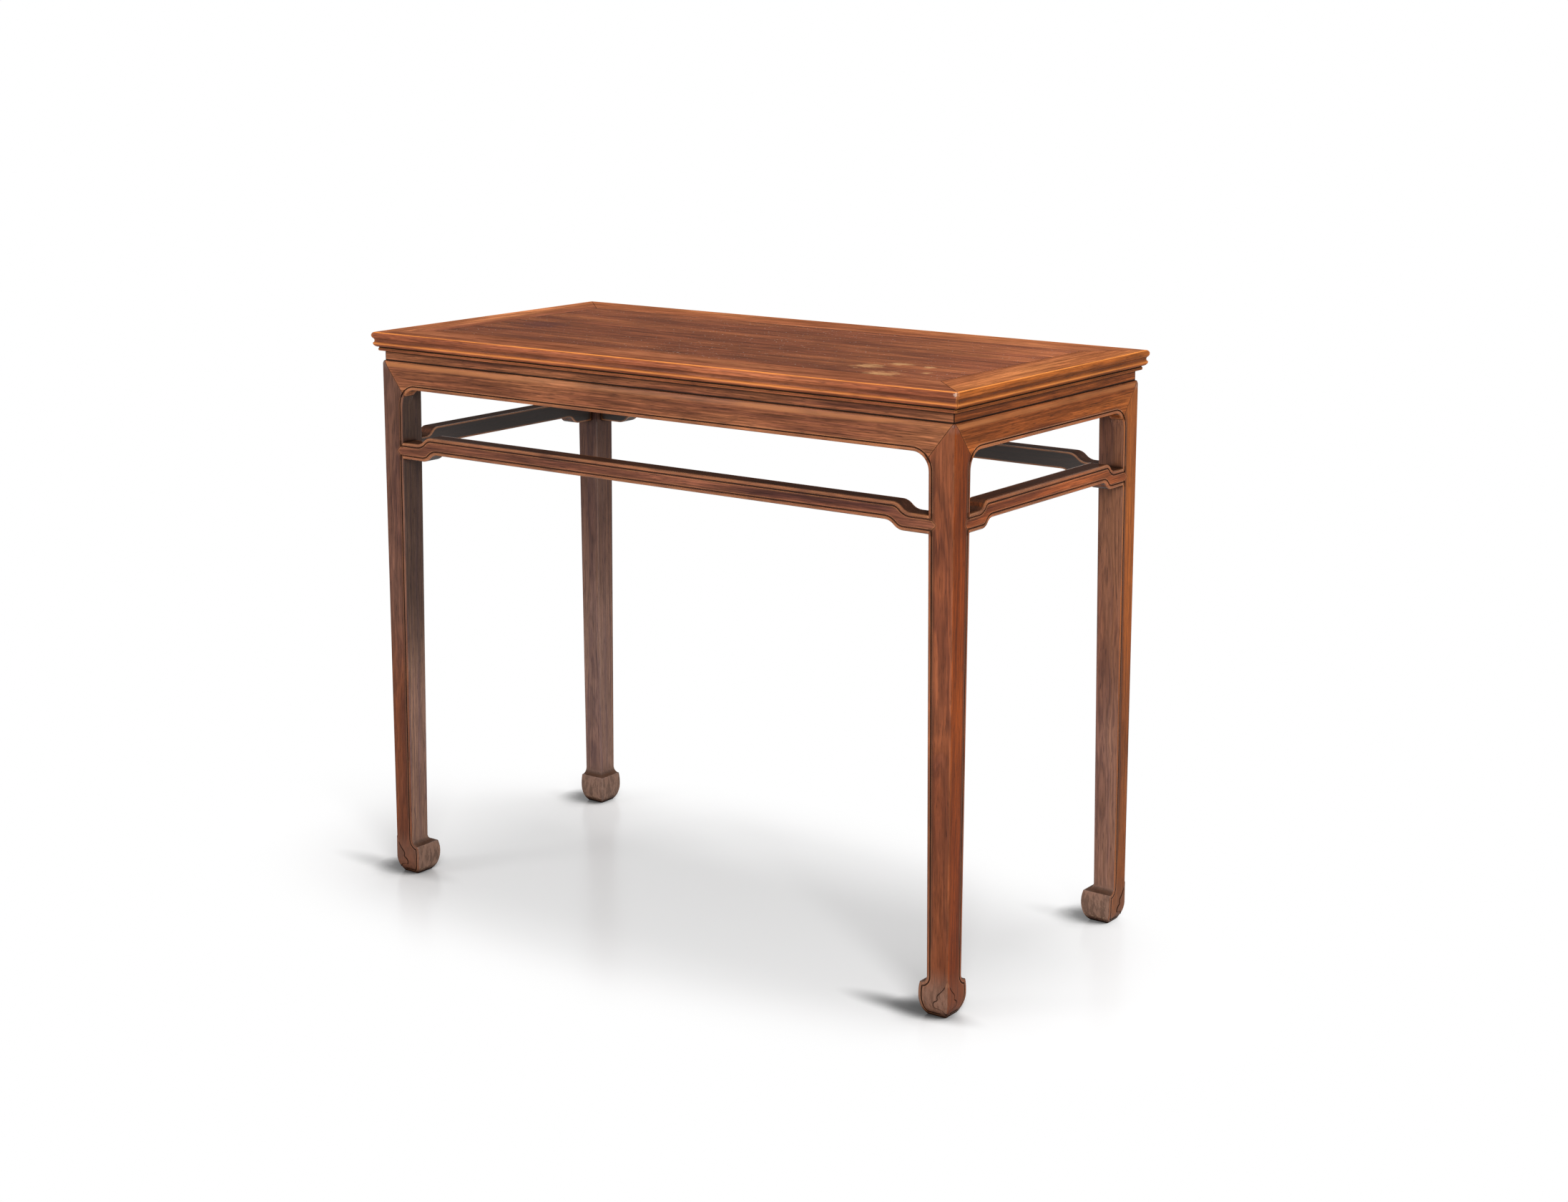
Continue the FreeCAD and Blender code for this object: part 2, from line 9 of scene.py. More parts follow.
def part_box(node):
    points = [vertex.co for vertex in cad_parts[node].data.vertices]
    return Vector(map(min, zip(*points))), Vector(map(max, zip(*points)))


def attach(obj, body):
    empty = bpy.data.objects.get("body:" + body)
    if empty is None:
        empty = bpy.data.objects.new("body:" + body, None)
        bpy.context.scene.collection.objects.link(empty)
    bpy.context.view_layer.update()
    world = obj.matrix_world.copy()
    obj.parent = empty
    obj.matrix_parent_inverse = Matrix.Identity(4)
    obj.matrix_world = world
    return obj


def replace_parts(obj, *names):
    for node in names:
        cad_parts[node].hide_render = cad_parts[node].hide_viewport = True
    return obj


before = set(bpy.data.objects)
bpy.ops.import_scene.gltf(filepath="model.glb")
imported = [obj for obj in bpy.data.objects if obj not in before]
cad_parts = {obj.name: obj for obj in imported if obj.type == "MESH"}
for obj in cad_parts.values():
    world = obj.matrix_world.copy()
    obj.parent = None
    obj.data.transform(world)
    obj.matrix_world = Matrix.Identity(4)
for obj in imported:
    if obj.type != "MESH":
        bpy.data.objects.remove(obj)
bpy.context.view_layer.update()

# Legs: square posts of a dense red-brown hardwood, each worked from one length with the grain upright.
# The outer faces are waxed and rubbed, with grime and painted shade in the grooves beside the beads. Each
# face is tinted to paint the light, sheen and shade it gets, the two faces turned to the inside of the
# table greyer and darker, and the upper part of each leg is painted darker as shade.
corners = {"front_left": (-1, -1), "front_right": (1, -1), "back_left": (-1, 1), "back_right": (1, 1)}
legs_half = {"X": 0.511, "Y": 0.244}
leg_floor_width = 0.0335
leg_taper = 0.00845
straight_run = (0.080, 0.110, 0.745, 0.770)
bead_groove = (0.0040, 0.0050, 0.0065, 0.0125)
stretcher_notch = (0.656, 0.658, 0.686, 0.688)
mitre_foot = 0.752
mitre_fade = 0.003
shoulder_seam = 0.8
notch_seam = 0.5
crown_levels = (0.788, 0.800)
foot_height = 0.075
instep_height = 0.062
scuffed_height = 0.030
chipped_levels = (0.016, 0.004)
leg_dark = (0.150, 0.040, 0.014, 1)
leg_middle = (0.270, 0.070, 0.018, 1)
leg_light = (0.360, 0.104, 0.027, 1)
leg_rubbed = (0.400, 0.145, 0.050, 1)
foot_worn = (0.215, 0.124, 0.088, 1)
foot_dark = (0.070, 0.043, 0.031, 1)
foot_chipped = (0.400, 0.265, 0.170, 1)
leg_roughness = 0.40


def add(tree, kind, inputs=None, **settings):
    """A shader node: settings are its own options, and inputs are values to set or sockets to link."""
    made = tree.nodes.new(kind)
    for name, value in settings.items():
        setattr(made, name, value)
    for name, value in (inputs or {}).items():
        if isinstance(value, bpy.types.NodeSocket):
            tree.links.new(value, made.inputs[name])
        else:
            made.inputs[name].default_value = value
    return made


def maths(tree, operation, first, second=0.0):
    """One operation on a value or two."""
    return add(tree, "ShaderNodeMath", {0: first, 1: second}, operation=operation).outputs[0]


def product(tree, *shares):
    """Several shares multiplied together."""
    total = shares[0]
    for share in shares[1:]:
        total = maths(tree, "MULTIPLY", total, share)
    return total


def spread(tree, value, low, high, to_low=0.0, to_high=1.0):
    """A value eased from to_low at low to to_high at high, and held beyond them."""
    limits = {"Value": value, "From Min": low, "From Max": high, "To Min": to_low, "To Max": to_high}
    return add(tree, "ShaderNodeMapRange", limits, interpolation_type="SMOOTHSTEP").outputs[0]


def band(tree, value, limits):
    """1 within a band of values, rising between its first two limits and falling between the others."""
    start, full, fading, end = limits
    return product(tree, spread(tree, value, start, full), spread(tree, value, end, fading))


def position(tree):
    """Object coordinates."""
    return add(tree, "ShaderNodeTexCoord").outputs["Object"]


def along(tree, axis):
    """Object coordinate along one axis."""
    return add(tree, "ShaderNodeSeparateXYZ", {0: position(tree)}).outputs[axis]


def inwards_from(tree, axis, outermost):
    """Distance from the outermost place along an axis, the same on both sides of the table."""
    return maths(tree, "SUBTRACT", outermost, maths(tree, "ABSOLUTE", along(tree, axis)))


def distance_from(tree, place, centre=(0, 0, 0)):
    """Distance of a place from a centre."""
    return add(tree, "ShaderNodeVectorMath", {0: place, 1: centre}, operation="DISTANCE").outputs["Value"]


def multiplied(tree, vector, factors):
    """A place or a colour with each of its three parts multiplied."""
    return add(tree, "ShaderNodeVectorMath", {0: vector, 1: factors}, operation="MULTIPLY").outputs[0]


def mixed(tree, share, first, second):
    """Two colours mixed by a share of the second."""
    return add(tree, "ShaderNodeMix", {0: share, 6: first, 7: second}, data_type="RGBA").outputs[2]


def shaded(tree, colour, amount):
    """A colour made darker or lighter by a factor."""
    return add(tree, "ShaderNodeVectorMath", {0: colour, "Scale": amount}, operation="SCALE").outputs[0]


def tinted(tree, colour, tint, share=1.0):
    """A colour with its red, green and blue changed by three factors over a share of the surface."""
    return mixed(tree, share, colour, multiplied(tree, colour, tint))


def facing(tree, direction, low=0.55, high=0.85, to_low=0.0, to_high=1.0):
    """1 on the surfaces that face a direction, 0 on the others, or the two values given for them."""
    normal = add(tree, "ShaderNodeTexCoord").outputs["Normal"]
    turned = add(tree, "ShaderNodeVectorMath", {0: normal, 1: direction}, operation="DOT_PRODUCT")
    return spread(tree, turned.outputs["Value"], low, high, to_low, to_high)


def speckle(tree, place, cells, detail=2.0, roughness=0.5):
    """Noise from 0 to 1 with a number of cells per metre along each axis of the place."""
    settings = {"Vector": multiplied(tree, place, cells), "Scale": 1.0, "Detail": detail,
                "Roughness": roughness}
    return add(tree, "ShaderNodeTexNoise", settings).outputs["Fac"]


def rows(tree, distance, cells, detail):
    """Noise from 0 to 1 along a distance from the heart of the tree: growth rings of uneven width."""
    settings = {"W": distance, "Scale": cells, "Detail": detail, "Roughness": 0.6}
    return add(tree, "ShaderNodeTexNoise", settings, noise_dimensions="1D").outputs["Fac"]


def along_grain(tree, axis, heart, lean):
    """Object coordinates turned to have X along the grain and the heart of the tree at the origin."""
    turns = {"X": (0, 0, 0), "Y": (0, 0, -math.pi / 2), "Z": (0, math.pi / 2, 0)}
    turn = Vector(turns[axis]) + Vector((0, lean[0], lean[1]))
    settings = {"Vector": position(tree), "Location": heart, "Rotation": turn}
    return add(tree, "ShaderNodeMapping", settings).outputs[0]


wide_sway = (1.6, 11, 11)
fine_sway = (9, 160, 160)
oval_sway = (7, 40, 40)
ring_cells = 140.0
streak_cells = 45.0
line_waves = 2600.0
fibre_cells = (8, 400, 400)
thread_cells = (24, 950, 950)
pore_cells = (50, 1050, 1050)
drift_cells = (3.5, 22, 22)
patina_cells = (9, 36, 36)
pore = (0.020, 0.008, 0.005, 1)
pore_share = 0.50


def timber(tree, place, dark, middle, light, figure=1.0, swirl=0.0):
    """Colour of sawn and waxed hardwood, and its height for the bump: rings, streaks and open pores.

    The figure is the strength of its streaks and fibres, and the swirl turns straight rings into the
    ovals of a board sawn near the bark."""
    distance = distance_from(tree, multiplied(tree, place, (0, 1, 1)))
    for cells, depth in ((wide_sway, 0.040 - 0.025 * swirl), (fine_sway, 0.0030 - 0.0020 * swirl),
                         (oval_sway, 0.012 * swirl)):
        sway = maths(tree, "SUBTRACT", speckle(tree, place, cells), 0.5)
        distance = maths(tree, "ADD", distance, maths(tree, "MULTIPLY", sway, depth))
    rings = rows(tree, distance, ring_cells, 5.0)
    streaks = rows(tree, distance, streak_cells, 3.0)
    lines = maths(tree, "SINE", maths(tree, "MULTIPLY", distance, line_waves))
    fibres = speckle(tree, place, fibre_cells, 3.0, 0.6)
    threads = speckle(tree, place, thread_cells, 2.0, 0.6)
    pores = spread(tree, speckle(tree, place, pore_cells, 1.0), 0.58, 0.70)
    drift = speckle(tree, place, drift_cells, 4.0)
    patina = speckle(tree, place, patina_cells, 4.0, 0.6)

    colour = mixed(tree, spread(tree, rings, 0.32, 0.66), dark, middle)
    colour = mixed(tree, spread(tree, drift, 0.42, 0.68, 0.0, 0.85 - 0.35 * swirl), colour, light)
    colour = mixed(tree, spread(tree, streaks, 0.52, 0.70, 0.0, 0.60 * figure), colour, dark)
    for marks, low, high, darker, lighter in (
            (fibres, 0.30, 0.70, 1.0 - 0.38 * figure, 1.0 + 0.36 * figure),
            (threads, 0.30, 0.70, 1.0 - 0.30 * figure, 1.0 + 0.26 * figure),
            (patina, 0.30, 0.70, 0.78 + 0.07 * swirl, 1.18 - 0.06 * swirl),
            (lines, 1.0, -1.0, 0.94 - 0.07 * swirl, 1.05 + 0.05 * swirl)):
        colour = shaded(tree, colour, spread(tree, marks, low, high, darker, lighter))
    colour = mixed(tree, maths(tree, "MULTIPLY", pores, pore_share), colour, pore)
    height = maths(tree, "SUBTRACT", maths(tree, "MULTIPLY", fibres, 0.5), pores)
    return colour, height


def openness(tree, reach, inside):
    """How open the view from a point is within a reach: outside for hollows, inside for sharp edges."""
    return add(tree, "ShaderNodeAmbientOcclusion", {"Distance": reach}, inside=inside, only_local=inside,
               samples=8).outputs["AO"]


wide_hollow = 0.012
narrow_hollow = 0.005
wear_cells = (30, 90, 90)
# Colours of old wax and of grime, which also paint shade into hollows.
old_wax_and_shade = (0.050, 0.018, 0.010, 1)
grime_and_shade = (0.010, 0.0065, 0.0050, 1)
grime_and_shade_share = 0.90


def used(tree, place, colour, rubbed, joined, wear=0.8, reach=0.004, seam=0.0009):
    """Years of use over a colour: free edges rubbed to fresh wood, wax blackened in hollows and joints,
    and painted shade in the hollows.

    The joined share tells the edges of a joint, which are dark for the width of a seam, from free ones.
    The shares of dirt with painted shade and of free edges come back with the colour."""
    # Painted shade: wide hollows darkened in the colour of old wax.
    waxy_shade = spread(tree, openness(tree, wide_hollow, False), 0.97, 0.55, 0.0, 0.80)
    colour = mixed(tree, waxy_shade, colour, old_wax_and_shade)
    patchy = spread(tree, speckle(tree, place, wear_cells, 3.0), 0.30, 0.62, 0.42, 1.0)
    free = maths(tree, "SUBTRACT", 1.0, joined)
    edge = product(tree, spread(tree, openness(tree, reach, True), 0.93, 0.60), free)
    colour = mixed(tree, product(tree, edge, patchy, wear), colour, rubbed)
    joint = spread(tree, openness(tree, seam, True), 0.95, 0.70)
    # Grime and painted shade: narrow hollows, such as grooves and quirks, darkened almost to black.
    hollow = spread(tree, openness(tree, narrow_hollow, False), 0.92, 0.60, 0.0, 0.75)
    dirt_and_shade = maths(tree, "MAXIMUM", maths(tree, "MULTIPLY", joint, joined), hollow)
    return mixed(tree, maths(tree, "MULTIPLY", dirt_and_shade, grime_and_shade_share), colour, grime_and_shade), dirt_and_shade, edge


pore_depth = 0.00012
grime_roughness = 0.85
edge_polish = 0.7


def waxed(material, colour, height, roughness, dirt_and_shade, edge, sides=0.22, top=0.05):
    """The surface shader: old wax polish on the sides and the top, bright on edges and dull in dirt and
    painted shade.
    """
    tree = material.node_tree
    flat = facing(tree, (0, 0, 1), 0.55, 0.95, sides, top)
    bump = add(tree, "ShaderNodeBump", {"Height": height, "Strength": 0.6, "Distance": pore_depth})
    dulled = spread(tree, dirt_and_shade, 0.0, 0.8, roughness, grime_roughness)
    polish = product(tree, maths(tree, "MAXIMUM", maths(tree, "MULTIPLY", edge, edge_polish), flat),
                     maths(tree, "SUBTRACT", 1.0, dirt_and_shade))
    surface = add(tree, "ShaderNodeBsdfPrincipled",
                  {"Base Color": colour, "Roughness": dulled, "Normal": bump.outputs[0],
                   "Specular IOR Level": 0.0, "Coat Weight": polish, "Coat Roughness": 0.24})
    add(tree, "ShaderNodeOutputMaterial", {"Surface": surface.outputs[0]})


def new_material(name):
    """A material with no nodes yet."""
    material = bpy.data.materials.new(name)
    material.use_nodes = True
    material.node_tree.nodes.clear()
    return material


soft_angle = math.radians(52)
coplanar = math.radians(0.2)
eased_edge = 0.0004
weld = 0.00001
coincident = 0.000001


def placed(shape, name, material):
    """A finished piece of the table from its shape, with eased edges and even shading."""
    for face in shape.faces:
        face.smooth = True
    mesh = bpy.data.meshes.new(name)
    shape.to_mesh(mesh)
    shape.free()
    mesh.set_sharp_from_angle(angle=soft_angle)
    mesh.materials.append(material)
    piece = bpy.data.objects.new(name, mesh)
    bpy.context.scene.collection.objects.link(piece)
    eased = piece.modifiers.new("eased edges", "BEVEL")
    eased.width = eased_edge
    eased.segments = 2
    eased.limit_method = "ANGLE"
    eased.angle_limit = soft_angle
    closed = piece.modifiers.new("closed corners", "WELD")
    closed.merge_threshold = coincident
    even = piece.modifiers.new("even shading", "WEIGHTED_NORMAL")
    even.keep_sharp = True
    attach(piece, "root")
    return piece


def smooth_piece(node, material):
    """A welded copy of a piece, shaded round where its faces turn gently, which stands for the piece."""
    shape = bmesh.new()
    shape.from_mesh(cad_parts[node].data)
    bmesh.ops.remove_doubles(shape, verts=shape.verts, dist=weld)
    bmesh.ops.dissolve_limit(shape, angle_limit=coplanar, verts=shape.verts, edges=shape.edges)
    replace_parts(placed(shape, f"{node}.waxed", material), node)


# The tints of a leg set its tone and also paint the light, sheen and shade each face gets. They are for
# its front or back face, its end face and its two inner faces, each with one for the upper and one for
# the lower half.
# Scuffs are the share of wear on the front or back of a foot.
face_light_tints = {
    "front_left": (((0.50, 0.80, 1.95), (0.54, 0.57, 0.84)),
                   ((0.80, 0.70, 0.70), (0.80, 0.70, 0.70)),
                   ((0.30, 0.62, 1.60), (0.96, 1.98, 5.00))),
    "front_right": (((0.88, 0.96, 1.46), (0.65, 0.66, 0.92)),
                    ((0.88, 0.63, 0.29), (0.70, 0.50, 0.30)),
                    ((0.65, 1.05, 2.30), (0.65, 1.05, 2.30))),
    "back_left": (((0.80, 0.90, 1.20), (0.80, 0.90, 1.20)),
                  ((0.80, 0.70, 0.70), (0.80, 0.70, 0.70)),
                  ((0.60, 1.11, 2.85), (0.82, 1.68, 4.50))),
    "back_right": (((0.90, 0.95, 1.20), (0.90, 0.95, 1.20)),
                   ((1.28, 1.26, 0.80), (0.84, 0.88, 0.72)),
                   ((0.78, 1.15, 2.25), (0.84, 1.47, 3.50)))}
tint_levels = (0.46, 0.26)
shade_levels = (0.50, 0.68)
upper_shade = 0.80
groove_shade = 0.75
front_scuffs = {"front_left": 0.35, "front_right": 0.85, "back_left": 0.5, "back_right": 0.5}
end_scuffs = 0.25
scuff_cells = (45, 150, 150)
splinter_cells = (260, 260, 260)
foot_mark_share = 0.7


def leg_wood(name, number, corner):
    """The wood of one leg before it is rubbed: its material, place along the grain, colour and height."""
    side, end = corners[corner]
    wood = new_material(name)
    tree = wood.node_tree
    heart = (0.3 * number, -0.19 * end, 0.49 * side)
    place = along_grain(tree, "Z", heart, lean=(0.012 * side, 0.016 * end))
    colour, height = timber(tree, place, leg_dark, leg_middle, leg_light, figure=0.45, swirl=1.0)
    inner = maths(tree, "MAXIMUM", facing(tree, (-side, 0, 0)), facing(tree, (0, -end, 0)))
    faces = (facing(tree, (0, end, 0)), facing(tree, (side, 0, 0)), inner)
    level = along(tree, "Z")
    low = spread(tree, level, *tint_levels)
    for share, (high_tint, low_tint) in zip(faces, face_light_tints[corner]):
        tint = mixed(tree, low, (*high_tint, 1), (*low_tint, 1))
        colour = tinted(tree, colour, tint, share)
    # Painted shade: each leg darker towards its top, from about the stretchers up.
    colour = shaded(tree, colour, spread(tree, level, *shade_levels, 1.0, upper_shade))

    # Painted shade: a band in the colour of old wax beside each bead groove, along the straight run of
    # the leg.
    width = maths(tree, "ADD", leg_floor_width, maths(tree, "MULTIPLY", level, leg_taper))
    straight = maths(tree, "MULTIPLY", band(tree, level, straight_run), groove_shade)
    for axis, outward in (("X", (0, end, 0)), ("Y", (side, 0, 0))):
        from_inner_edge = maths(tree, "SUBTRACT", width, inwards_from(tree, axis, legs_half[axis]))
        waxy_shade = product(tree, band(tree, from_inner_edge, bead_groove), straight, facing(tree, outward))
        colour = mixed(tree, waxy_shade, colour, old_wax_and_shade)

    mottled = speckle(tree, place, scuff_cells, 5.0, 0.7)
    scuffed = product(tree, spread(tree, level, foot_height, scuffed_height),
                      spread(tree, mottled, 0.25, 0.60, 0.45, 0.85),
                      facing(tree, (side, 0, 0), to_low=1.0, to_high=end_scuffs),
                      facing(tree, (0, end, 0), to_low=1.0, to_high=front_scuffs[corner]))
    colour = mixed(tree, scuffed, colour, foot_worn)
    colour = mixed(tree, product(tree, scuffed, spread(tree, mottled, 0.57, 0.40)), colour, foot_dark)
    # The upward faces of the hoof's shoulder are darker.
    instep = product(tree, facing(tree, (0, 0, 1), 0.2, 0.7),
                     spread(tree, level, foot_height, instep_height))
    colour = mixed(tree, maths(tree, "MULTIPLY", instep, foot_mark_share), colour, foot_dark)
    splinters = product(tree, inner, spread(tree, level, *chipped_levels),
                        spread(tree, speckle(tree, place, splinter_cells, 3.0), 0.52, 0.60))
    colour = mixed(tree, maths(tree, "MULTIPLY", splinters, foot_mark_share), colour, foot_chipped)
    return wood, place, colour, height


def worn_leg(wood, corner, place, colour, height, joined, wear, seam):
    """Rubbed edges, dark joints and a polished crown over the wood of one leg."""
    side, end = corners[corner]
    tree = wood.node_tree
    rubbing = product(tree, facing(tree, (side, end, 0), 0.10, 0.60, 0.08, 1.0), wear)
    colour, dirt_and_shade, edge = used(tree, place, colour, leg_rubbed, joined, rubbing, seam=seam)
    crown = product(tree, spread(tree, along(tree, "Z"), *crown_levels),
                    facing(tree, (side, end, 0), 0.30, 0.90))
    waxed(wood, colour, height, leg_roughness, dirt_and_shade, maths(tree, "MAXIMUM", edge, crown))


def leg_joints(tree):
    """The shoulder's mitre and the notches for the stretchers."""
    level = along(tree, "Z")
    shoulder = spread(tree, level, mitre_foot, mitre_foot + mitre_fade, 0.0, shoulder_seam)
    notch = maths(tree, "MULTIPLY", band(tree, level, stretcher_notch), notch_seam)
    return maths(tree, "MAXIMUM", shoulder, notch)


for number, corner in enumerate(corners):
    wood, place, colour, height = leg_wood(f"leg {corner} wood", number, corner)
    joined = leg_joints(wood.node_tree)
    worn_leg(wood, corner, place, colour, height, joined, wear=0.4, seam=0.0009)
    smooth_piece(f"leg_{corner}", wood)

# Carved leaves: a small leaf in low relief, cut round the outer corner of each foot in the wood of the
# leg. Its middle rib is the corner itself, and dark wax lies in the cut round its outline.
leaf_depth = 0.0006
leaf_root = 0.0040
leaf_top = 0.0585
leaf_run_out = 0.020
leaf_rib_round = 0.0025
leaf_rib_clear = (0.003, 0.005)
lobe_radius = 0.0056
upper_lobe_centre = (0.0115, 0.0305)
lower_lobe_centre = (0.0174, 0.0192)
foot_curl_start = 0.026
foot_curl_radius = 0.04625
leaf_cuts = 12


def arc(centre, radius, start, end, steps):
    """Points along an arc from one angle to another, in degrees."""
    turns = [math.radians(start + (end - start) * step / steps) for step in range(steps + 1)]
    return [Vector(centre) + radius * Vector((math.cos(turn), math.sin(turn))) for turn in turns]


def leaf_outline():
    """Half of the leaf opened flat, in distances from its rib and heights: a long tip and two lobes."""
    tip = interpolate_bezier((0, leaf_top), (0.0024, 0.050), (0.008, 0.041), (0.0151, 0.0348), 9)
    upper_lobe = arc(upper_lobe_centre, lobe_radius, 42, -40, 6)
    lower_lobe = arc(lower_lobe_centre, lobe_radius, 75, -112, 12)
    return tip + upper_lobe + lower_lobe + [Vector((0.0076, 0.0120)), Vector((0, 0.0062))]


def leaf(foot, side, end):
    """Both halves of the leaf, bent to the curl of the foot and raised from it."""
    shape = bmesh.new()
    outline = [shape.verts.new((-distance, 0, height)) for distance, height in leaf_outline()]
    half_leaf = shape.faces.new(outline)
    other = bmesh.ops.duplicate(shape, geom=[half_leaf] + half_leaf.edges[:] + half_leaf.verts[:])
    across = Matrix(((0, -1, 0), (-1, 0, 0), (0, 0, 1)))
    bmesh.ops.transform(shape, matrix=across.to_4x4(),
                        verts=[item for item in other["geom"] if isinstance(item, bmesh.types.BMVert)])
    cuts = [((0, 0, foot_curl_start * step / leaf_cuts), (0, 0, 1)) for step in range(1, leaf_cuts)]
    cuts += [((-leaf_rib_round, 0, 0), (1, 0, 0)), ((0, leaf_rib_round, 0), (0, 1, 0))]
    for level, direction in cuts:
        bmesh.ops.bisect_plane(shape, geom=shape.verts[:] + shape.edges[:] + shape.faces[:],
                               plane_co=level, plane_no=direction)
    bmesh.ops.remove_doubles(shape, verts=shape.verts, dist=weld)
    under = set(shape.verts)
    bmesh.ops.extrude_face_region(shape, geom=shape.faces[:])
    for point in shape.verts:
        raised = leaf_depth * min(1.0, (leaf_top - point.co.z) / leaf_run_out)
        lift = -leaf_root if point in under else raised
        on_front, on_side = abs(point.co.y) < weld, abs(point.co.x) < weld
        if on_front and on_side:
            lift -= leaf_rib_round * (1 - math.sqrt(0.5))
        below = max(0.0, foot_curl_start - point.co.z)
        curl = foot_curl_radius - math.sqrt(foot_curl_radius ** 2 - below ** 2)
        point.co.x += lift * on_side - curl
        point.co.y += curl - lift * on_front
    stand = Matrix.Translation(foot) @ Matrix.Diagonal((side, -end, 1, 1))
    bmesh.ops.transform(shape, matrix=stand, verts=shape.verts)
    bmesh.ops.recalc_face_normals(shape, faces=shape.faces)
    return shape


def leaf_rim(tree, foot):
    """The outline of the leaf, away from its rib."""
    on_floor = multiplied(tree, position(tree), (1, 1, 0))
    return spread(tree, distance_from(tree, on_floor, foot), *leaf_rib_clear)


for number, (corner, (side, end)) in enumerate(corners.items()):
    lowest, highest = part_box(f"leg_{corner}")
    foot = Vector((highest[0] if side > 0 else lowest[0], highest[1] if end > 0 else lowest[1], 0))
    wood, place, colour, height = leg_wood(f"leaf {corner} wood", number, corner)
    joined = leaf_rim(wood.node_tree, foot)
    worn_leg(wood, corner, place, colour, height, joined, wear=0.3, seam=0.0020)
    placed(leaf(foot, side, end), f"leg_{corner}.leaf", wood)

# Humpback stretchers: bars sawn to their curve, beaded on the face, with the grain along their length.
# The backs and undersides still carry the thin black lacquer that kept the damp out.
sides = {"front": (0, -1), "right": (1, 0), "back": (0, 1), "left": (-1, 0)}
stretcher_dark = (0.080, 0.024, 0.012, 1)
stretcher_middle = (0.175, 0.052, 0.020, 1)
stretcher_light = (0.270, 0.085, 0.031, 1)
stretcher_rubbed = (0.430, 0.165, 0.060, 1)
stretcher_top_shade = (0.050, 0.028, 0.019, 1)
# Tints for each side set its tone and also paint the sheen, light and shade it gets.
stretcher_light_tints = {"front": (0.76, 0.82, 1.15), "right": (1.17, 0.95, 0.68), "back": (0.85, 0.92, 1.15),
                   "left": (0.85, 0.85, 0.90)}
stretcher_roughness = 0.40
top_shade_share = 0.7
lacquer = (0.043, 0.039, 0.037, 1)
lacquer_share = 0.92
leg_face = 0.037
stretcher_seam = 0.6


def lacquered(tree, colour, inward, low=0.55, high=0.85):
    """A colour under lacquer on the surfaces that face inward, and down between two limits."""
    hidden = maths(tree, "MAXIMUM", facing(tree, inward), facing(tree, (0, 0, -1), low, high))
    return mixed(tree, maths(tree, "MULTIPLY", hidden, lacquer_share), colour, lacquer)


for number, (side, (x, y)) in enumerate(sides.items()):
    wood = new_material(f"stretcher {side} wood")
    tree = wood.node_tree
    axis = "X" if x == 0 else "Y"
    place = along_grain(tree, axis, heart=(0.7 * number, 0.17, -0.61), lean=(0.004, 0.007))
    colour, height = timber(tree, place, stretcher_dark, stretcher_middle, stretcher_light)
    colour = tinted(tree, colour, stretcher_light_tints[side])
    # Painted shade: the upper faces of the stretchers, under the table, are darkened.
    top_shade = maths(tree, "MULTIPLY", facing(tree, (0, 0, 1)), top_shade_share)
    colour = lacquered(tree, mixed(tree, top_shade, colour, stretcher_top_shade), (-x, -y, 0))
    from_leg = inwards_from(tree, axis, legs_half[axis])
    joined = spread(tree, from_leg, leg_face + mitre_fade, leg_face, 0.0, stretcher_seam)
    colour, dirt_and_shade, edge = used(tree, place, colour, stretcher_rubbed, joined)
    waxed(wood, colour, height, stretcher_roughness, dirt_and_shade, edge)
    smooth_piece(f"stretcher_{side}", wood)

# Aprons and waists: a deep rail under a recessed strip on each side, mitred round the legs' shoulders,
# of the same wood with its grain along the side, lacquered dark behind.
apron_dark = (0.145, 0.042, 0.017, 1)
apron_middle = (0.265, 0.080, 0.026, 1)
apron_light = (0.370, 0.122, 0.038, 1)
apron_rubbed_and_highlight = (0.420, 0.155, 0.054, 1)
